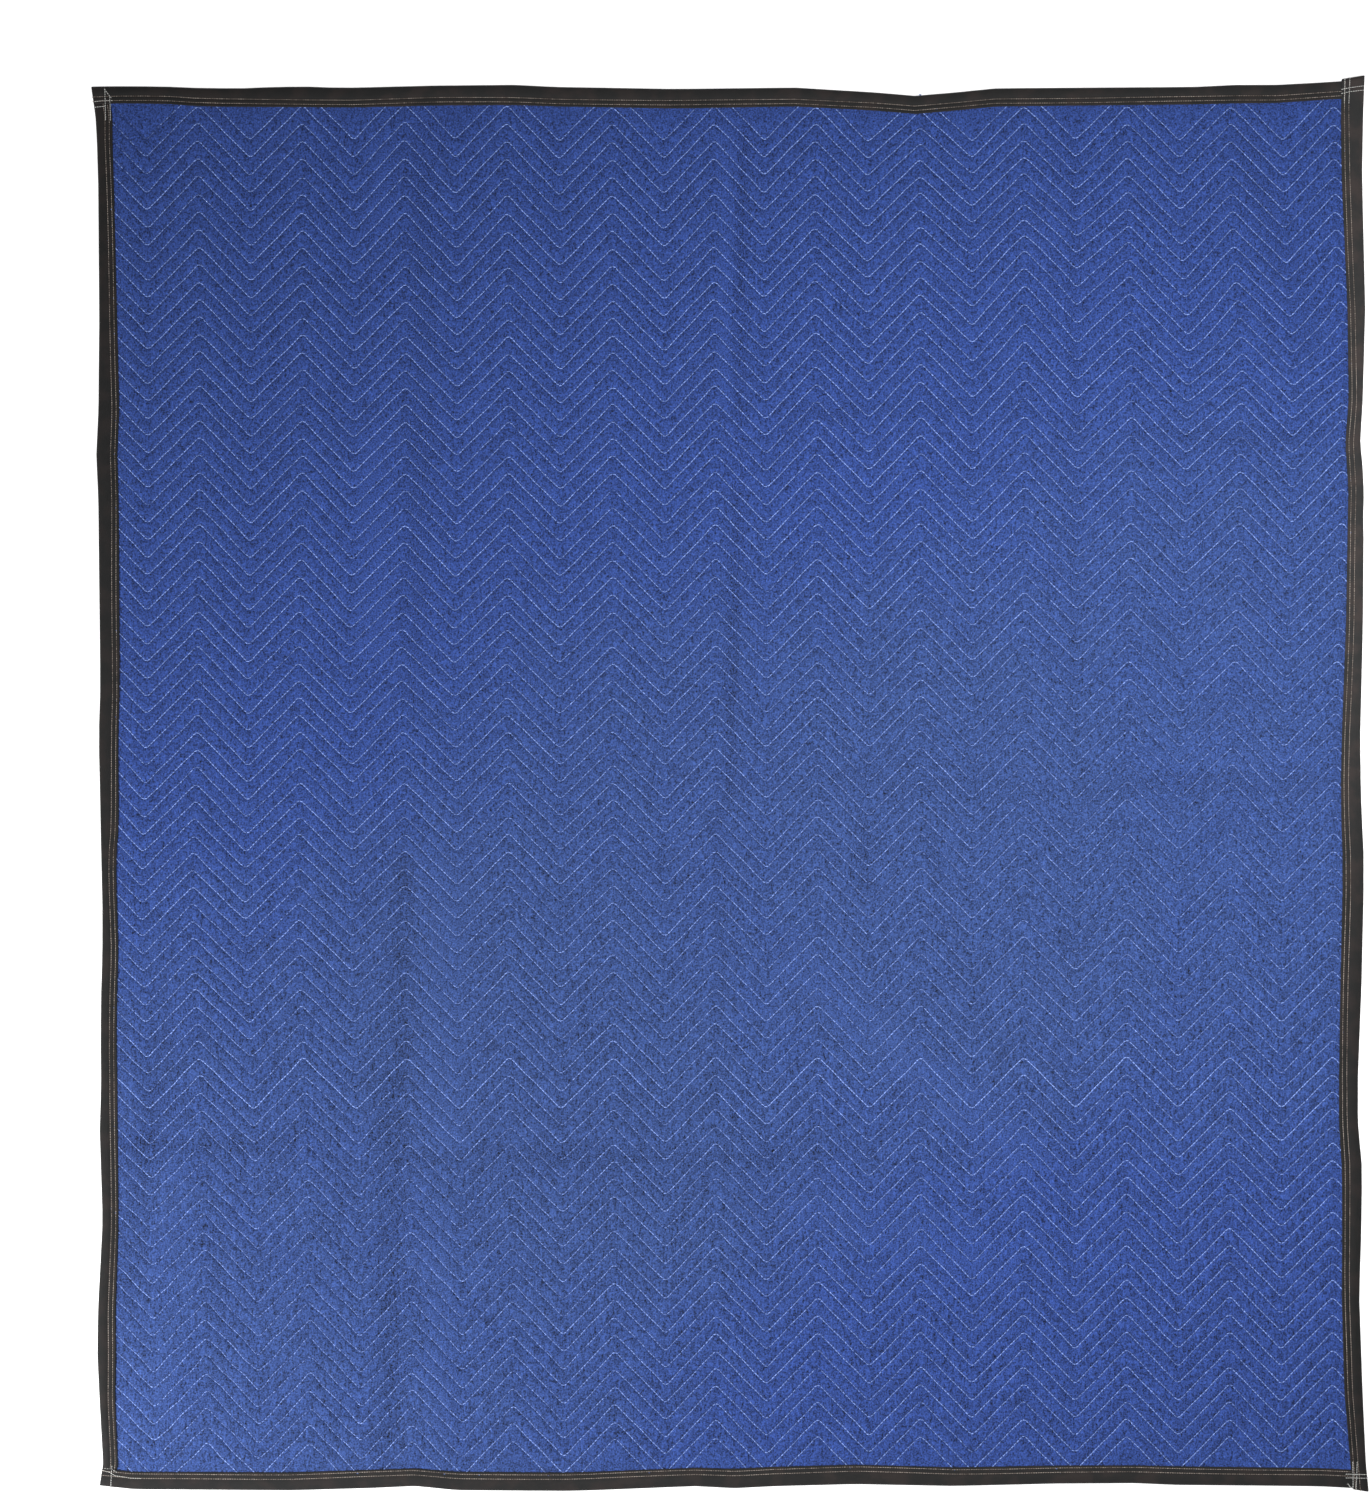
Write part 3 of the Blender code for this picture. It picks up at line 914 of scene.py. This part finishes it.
# %% The tape's profile
# share: how far in from the fold, as a share of the tape's width. inset: millimetres added to that.
Profile = collections.namedtuple("Profile", "share inset height")
TAPE_PROFILE = (
    Profile(1.0, 0.0, 4.5),
    Profile(1.0, -1.6, 4.7),
    Profile(1.0, -3.4, 4.6),
    Profile(1.0, -4.8, 4.15),
    Profile(1.0, -6.2, 4.7),
    Profile(1.0, -8.0, 4.95),
    Profile(1.0, -9.8, 4.75),
    Profile(1.0, -11.2, 4.2),
    Profile(1.0, -12.6, 4.9),
    Profile(0.36, 0.0, 5.45),
    Profile(0.24, 0.0, 5.5),
    Profile(0.12, 0.0, 5.2),
    Profile(0.0, 1.3, 4.4),
    Profile(0.0, 0.4, 3.5),
    Profile(0.0, 0.0, 2.5),
    Profile(0.0, 0.3, 1.5),
    Profile(0.0, 1.2, 0.6),
    Profile(0.0, 3.0, 0.1),
    Profile(0.5, 0.0, 0.0),
    Profile(1.0, 0.0, 0.0),
)
TAPE_THICKNESS = 0.8
MID_HEIGHT = 2.3
COLUMN_STEP = 6
TUCK = 7


def along_lines(lines, ends):
    """The fold line and inner edge at even steps. A tucked end runs on under the tape beside it."""
    start_by, end_by = [TUCK if end == "tucked" else 0 for end in ends]
    run = np.concatenate(([0], np.cumsum(np.linalg.norm(np.diff(lines.fold, axis=0), axis=1))))
    steps = np.linspace(-start_by, run[-1] + end_by, round((run[-1] + start_by + end_by) / COLUMN_STEP))
    rows = []
    for line in lines:
        points = np.stack([np.interp(steps, run, line[:, axis]) for axis in (0, 1)], axis=1)
        first = (line[0] - line[1]) / np.linalg.norm(line[0] - line[1])
        last = (line[-1] - line[-2]) / np.linalg.norm(line[-1] - line[-2])
        points += np.clip(-steps, 0, None)[:, None] * first
        points += np.clip(steps - run[-1], 0, None)[:, None] * last
        rows.append(points)
    return steps, *rows


# Each ripple has its length in millimetres, its turn with the phase and its share.
RIPPLES = ((4.1, 1, 0.35), (9.7, 2.3, 0.35), (23, 0.7, 0.3))
RIPPLE_HEIGHT = 0.22


def ripple(steps, phase):
    """The small waves that sewing draws into a tape, from -1 to 1."""
    return sum(np.sin(steps / length + turn * phase) * share for length, turn, share in RIPPLES)


# %% Folding a tape
# A tucked end keeps a share of its height. A lapping end is lifted as far as it lies on the tape below.
TUCK_SHARE = 0.55
LAP = 24
LAP_LIFT = 1.0
LAP_SLOPE = 8


def tape_points(lines, ends):
    """Points of a tape's outer face by column and row. An end is tucked under a tape, or laps over one."""
    steps, fold, inner = along_lines(lines, ends)
    width = np.linalg.norm(fold - inner, axis=1)[:, None]
    share = np.array([row.share for row in TAPE_PROFILE])
    inset = np.array([row.inset for row in TAPE_PROFILE])
    height = np.array([row.height for row in TAPE_PROFILE])
    way_in = np.clip(share + inset / width, 0, 1)
    points = fold[:, None, :] + (inner - fold)[:, None, :] * way_in[:, :, None]
    rises = np.tile(height, (len(steps), 1))
    upper = rises > MID_HEIGHT
    waves = np.stack([ripple(steps, phase) for phase in way_in[0] * 2], axis=1)
    rises = rises + upper * waves * RIPPLE_HEIGHT
    for end, away in zip(ends, (steps - steps[0], steps[-1] - steps)):
        if end == "tucked":
            near = 1 - ease(away / (2 * TUCK))[:, None]
            rises = rises + (MID_HEIGHT - rises) * (1 - TUCK_SHARE) * near
        else:
            near = 1 - ease((away - LAP) / LAP_SLOPE)[:, None]
            rises = rises + upper * LAP_LIFT * near
    return np.concatenate((points, rises[:, :, None]), axis=2)


def folded_tape(name, lines, ends):
    points = tape_points(lines, ends)
    columns, rows = points.shape[:2]
    bm = bmesh.new()
    bmesh.ops.create_grid(bm, x_segments=columns - 1, y_segments=rows - 1, size=0.5)
    for vert in bm.verts:
        column = round((vert.co.x + 0.5) * (columns - 1))
        row = round((vert.co.y + 0.5) * (rows - 1))
        vert.co = points[column, row] * MM
    if bm.calc_volume(signed=True) < 0:
        bmesh.ops.reverse_faces(bm, faces=bm.faces)
    piece = as_piece(bm, name, tape)
    thick = piece.modifiers.new("tape thickness", "SOLIDIFY")
    thick.thickness = TAPE_THICKNESS * MM
    thick.offset = -1
    print(f"{name}: {columns} columns of {rows} points")
    return piece


top_tape = folded_tape("top_tape", TOP, ("lapped", "tucked"))
bottom_tape = folded_tape("bottom_tape", BOTTOM, ("lapped", "tucked"))
left_tape = folded_tape("left_tape", LEFT, ("tucked", "tucked"))
right_tape = folded_tape("right_tape", RIGHT, ("lapped", "lapped"))

# %% [markdown]
# ## Sewing the tapes
#
# Two rows of tan thread hold each tape, a quarter of an inch apart. The rows follow the tape's inner edge
# with the small wander of a hand guided seam. The tapes are waved and lap over each other, so a height
# given in advance would bury some stitches and leave others in the air. Instead a ray is cast at the tape
# from above, or from below for the underside, and each point of a row lies where its ray lands.

# %% Two rows on every tape
BINDING = Stitch(pitch=3.5, length=3.3, width=1.1, height=0.9, rings=3)
# How high the middle of a thread lies over where its ray lands. On the face a third of the thread is
# sunk in, and on the underside two thirds, so that the blanket still lies flat.
RISE = 0.15
# How far away a ray starts, in metres.
FAR = 0.05


def height_on(pieces, x, y, under=False):
    """How high the outermost of the pieces lies at a place, in millimetres, or None beside them all."""
    way = 1 if under else -1
    heights = []
    for piece in pieces:
        hit, place, _, _ = piece.ray_cast((x * MM, y * MM, -way * FAR), (0, 0, way))
        if hit:
            heights.append(place.z / MM)
    return max(heights, key=lambda height: -way * height) if heights else None


def laid_on(pieces, path, under=False):
    """The path laid on the pieces, as points in millimetres."""
    points = []
    for x, y in path:
        height = height_on(pieces, x, y, under)
        if height is not None:
            points.append((x, y, height + RISE))
    return points


def wire_of(path):
    """A bmesh with one line of edges through the points, given in millimetres."""
    bm = bmesh.new()
    last = bm.verts.new([value * MM for value in path[0]])
    for point in path[1:]:
        this = bm.verts.new([value * MM for value in point])
        bm.edges.new((last, this))
        last = this
    return bm


def joined(wires):
    """One bmesh that holds all of the wires."""
    bm = bmesh.new()
    for wire in wires:
        mesh = bpy.data.meshes.new("wire")
        wire.to_mesh(mesh)
        wire.free()
        bm.from_mesh(mesh)
        bpy.data.meshes.remove(mesh)
    return bm


# How fast the tone swings across and up the blanket, in radians a metre.
TONE_ACROSS = 31
TONE_UP = 23


def with_tone(bm, tone, spread):
    """Stores a tone that comes and goes along the lines."""
    tones = bm.verts.layers.float.new("tone")
    for vert in bm.verts:
        swing = math.sin(vert.co.x * TONE_ACROSS) + math.sin(vert.co.y * TONE_UP + 1)
        vert[tones] = tone + spread * swing / 2
    return bm


SEAM_WANDER = 0.5
SEAM_WAVE = 57


def tape_rows(piece, lines, ends, rows, under=False):
    """The two rows of sewing on one tape, as wires, each so many millimetres from the inner edge."""
    steps, fold, inner = along_lines(lines, ends)
    width = np.linalg.norm(fold - inner, axis=1)
    wires = []
    for row in rows:
        wander = SEAM_WANDER * np.sin(steps / SEAM_WAVE + row)
        share = 1 - (row + wander) / width
        place = fold + (inner - fold) * share[:, None]
        wires.append(wire_of(laid_on((piece,), place, under)))
    return wires


SewnTape = collections.namedtuple("SewnTape", "piece lines ends rows")
SEWN_TAPES = (
    SewnTape(top_tape, TOP, ("lapped", "tucked"), (4.8, 11.2)),
    SewnTape(bottom_tape, BOTTOM, ("lapped", "tucked"), (3.4, 9.8)),
    SewnTape(left_tape, LEFT, ("tucked", "tucked"), (4.4, 10.6)),
    SewnTape(right_tape, RIGHT, ("lapped", "lapped"), (4.8, 11.4)),
)
bpy.context.view_layer.update()
face_rows = joined([wire for sewn_tape in SEWN_TAPES for wire in tape_rows(*sewn_tape)])
binding_stitches = sewn("binding_stitches", with_tone(face_rows, 0.5, 0.3), BINDING, tan_thread)
under_rows = joined([wire for sewn_tape in SEWN_TAPES for wire in tape_rows(*sewn_tape, under=True)])
binding_stitches_under = sewn(
    "binding_stitches_underside", with_tone(under_rows, 0.5, 0.3), BINDING, tan_thread
)

# %% [markdown]
# ## The corners
#
# Each corner is closed by short rows of white thread, sewn to and fro across the lap. Their places are
# read from the photograph, as pixels, and turned into millimetres here. Each row is cut into short steps,
# and each step is laid on the topmost tape under it, because the laps aren't flat.

# %% White corner stitches
CORNER = Stitch(pitch=3.2, length=3.3, width=1.1, height=1.1, rings=3)
LAID_STEP = 2.0

CORNER_ROWS = {
    "top left": (
        ((105.6, 90.4), (106.0, 119.7)),
        ((105.5, 90.4), (111.3, 98)),
        ((110.3, 98), (111.0, 120)),
        ((96, 102.2), (104, 101.3), (112, 101.2)),
        ((96, 107.8), (105, 106.6)),
    ),
    "top right": (
        ((1344.2, 80), (1343.8, 103)),
        ((1349.2, 79), (1348.4, 103)),
        ((1341.5, 90), (1349.9, 88.3), (1363, 86.6)),
        ((1341.5, 94), (1350, 92.3), (1362.4, 90.9)),
    ),
    "bottom left": (
        ((102, 1467.5), (112.5, 1468.5), (117, 1471.3)),
        ((102.5, 1469.3), (110.5, 1471.7), (115.6, 1474.8), (131, 1477.4), (140.5, 1477.7)),
        ((112.4, 1466), (111.5, 1486)),
    ),
    "bottom right": (
        ((1352.2, 1462), (1352.4, 1488)),
        ((1356.6, 1462), (1355.4, 1488)),
        ((1346, 1473.5), (1367, 1473.7)),
        ((1346, 1477.3), (1367, 1477.3)),
    ),
}


def stepped(path):
    """The same path with a point every few millimetres."""
    points = [path[0]]
    for (x1, y1), (x2, y2) in zip(path, path[1:]):
        count = math.ceil(math.dist((x1, y1), (x2, y2)) / LAID_STEP)
        for step in range(1, count + 1):
            points.append((x1 + (x2 - x1) * step / count, y1 + (y2 - y1) * step / count))
    return points


tapes = (top_tape, bottom_tape, left_tape, right_tape)
wires = []
for rows in CORNER_ROWS.values():
    for row in rows:
        wires.append(wire_of(laid_on(tapes, stepped([from_photo(*place) for place in row]))))
corner_stitches = sewn("corner_stitches", with_tone(joined(wires), 0.6, 0.3), CORNER, white_thread)

# %% [markdown]
# A loose end of the white thread was left at the bottom right corner. It is a thin curve with a round
# section. It can stay a curve, because its place is in its points and its thickness is a setting.

# %% The thread tail
# Column and row in the photograph, and height in millimetres.
TAIL = (
    (1352.3, 1486, 6.0),
    (1350.2, 1487.4, 5.2),
    (1348.2, 1484.6, 5.6),
    (1347.4, 1482.2, 5.4),
    (1345.8, 1484.4, 4.8),
)
TAIL_RADIUS = 0.4

curve = bpy.data.curves.new("thread_tail", "CURVE")
curve.dimensions = "3D"
curve.bevel_depth = TAIL_RADIUS * MM
curve.bevel_resolution = 2
curve.use_fill_caps = True
curve.resolution_u = 6
spline = curve.splines.new("NURBS")
spline.points.add(len(TAIL) - 1)
for point, (column, row, height) in zip(spline.points, TAIL):
    x, y = from_photo(column, row)
    point.co = (x * MM, y * MM, height * MM, 1)
spline.order_u = 4
spline.use_endpoint_u = True
thread_tail = bpy.data.objects.new("thread_tail", curve)
thread_tail.data.materials.append(white_thread)
bpy.context.scene.collection.objects.link(thread_tail)
print("thread_tail:", len(TAIL), "points")

# %% [markdown]
# ## Floor and light
#
# The photograph has a pure white ground and soft light, strongest at the lower left and weakest at the
# top left. A white floor that glows a little gives the ground. A raking lamp stands low, beyond the lower
# left corner, and shows the puffs and creases by their shading. A broad lamp hangs over the middle right
# and keeps that side from going dark. The view transform is set to Standard, because the film look that
# Blender starts with would turn the white ground grey and the blue pale.

# %% The floor
FLOOR_SIZE = 14
FLOOR_DROP = 0.0004
FLOOR_WHITE = (0.9, 0.9, 0.9, 1)
FLOOR_GLOW = 0.75

bm = bmesh.new()
bmesh.ops.create_grid(bm, x_segments=1, y_segments=1, size=FLOOR_SIZE / 2)
bmesh.ops.translate(bm, verts=bm.verts, vec=(0, 0, -FLOOR_DROP))
floor_finish, start, shader = new_finish("white floor", 0.9)
shader.inputs["Base Color"].default_value = FLOOR_WHITE
shader.inputs["Emission Color"].default_value = (1, 1, 1, 1)
shader.inputs["Emission Strength"].default_value = FLOOR_GLOW
floor = as_piece(bm, "floor", floor_finish)

# %% The lamps
Lamp = collections.namedtuple("Lamp", "name place aim size watts")
LAMPS = (
    Lamp("raking lamp", (-2.26, -1.71, 1.59), (0.11, -1.08, 0), 0.8, 83),
    Lamp("broad lamp", (0.90, 0.19, 1.54), (0.14, -0.08, 0), 1.2, 26),
)
WORLD_LIGHT = 0.26


def hang(lamp):
    """Adds a round lamp at its place, turned to what it is aimed at and hidden from the camera."""
    data = bpy.data.lights.new(lamp.name, "AREA")
    data.shape = "DISK"
    data.size = lamp.size
    data.energy = lamp.watts
    made = bpy.data.objects.new(lamp.name, data)
    made.location = lamp.place
    way = [aim - at for aim, at in zip(lamp.aim, lamp.place)]
    made.rotation_euler = mathutils.Vector(way).to_track_quat("-Z", "Y").to_euler()
    made.visible_camera = False
    bpy.context.scene.collection.objects.link(made)


for lamp in LAMPS:
    hang(lamp)
world = bpy.data.worlds.new("studio")
world.use_nodes = True
world.node_tree.nodes["Background"].inputs["Color"].default_value = (1, 1, 1, 1)
world.node_tree.nodes["Background"].inputs["Strength"].default_value = WORLD_LIGHT
bpy.context.scene.world = world
bpy.context.scene.view_settings.view_transform = "Standard"
print(len(LAMPS), "lamps and a world of strength", WORLD_LIGHT)

# %% [markdown]
# ## What each piece stands for
#
# Every piece rides on the one body of the blanket. The new pad and tapes stand for the plain ones, which
# are hidden.

# %% What stands for what
PIECES = (
    (quilted_cloth, "quilted_cloth", ("quilted_panel",)),
    *((stitches, "quilted_cloth", ()) for stitches in quilting_stitches),
    (under_stitches, "quilted_cloth", ()),
    (top_tape, "binding_tape", ("binding_top",)),
    (bottom_tape, "binding_tape", ("binding_bottom",)),
    (left_tape, "binding_tape", ("binding_left",)),
    (right_tape, "binding_tape", ("binding_right",)),
    (binding_stitches, "binding_tape", ()),
    (binding_stitches_under, "binding_tape", ()),
    (corner_stitches, "binding_tape", ()),
    (thread_tail, "binding_tape", ()),
)

for piece, slot, nodes in PIECES:
    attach(piece, "root")
    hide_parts(*nodes)
print(len(PIECES), "pieces ride on the blanket")

# %% The end
bpy.context.view_layer.update()
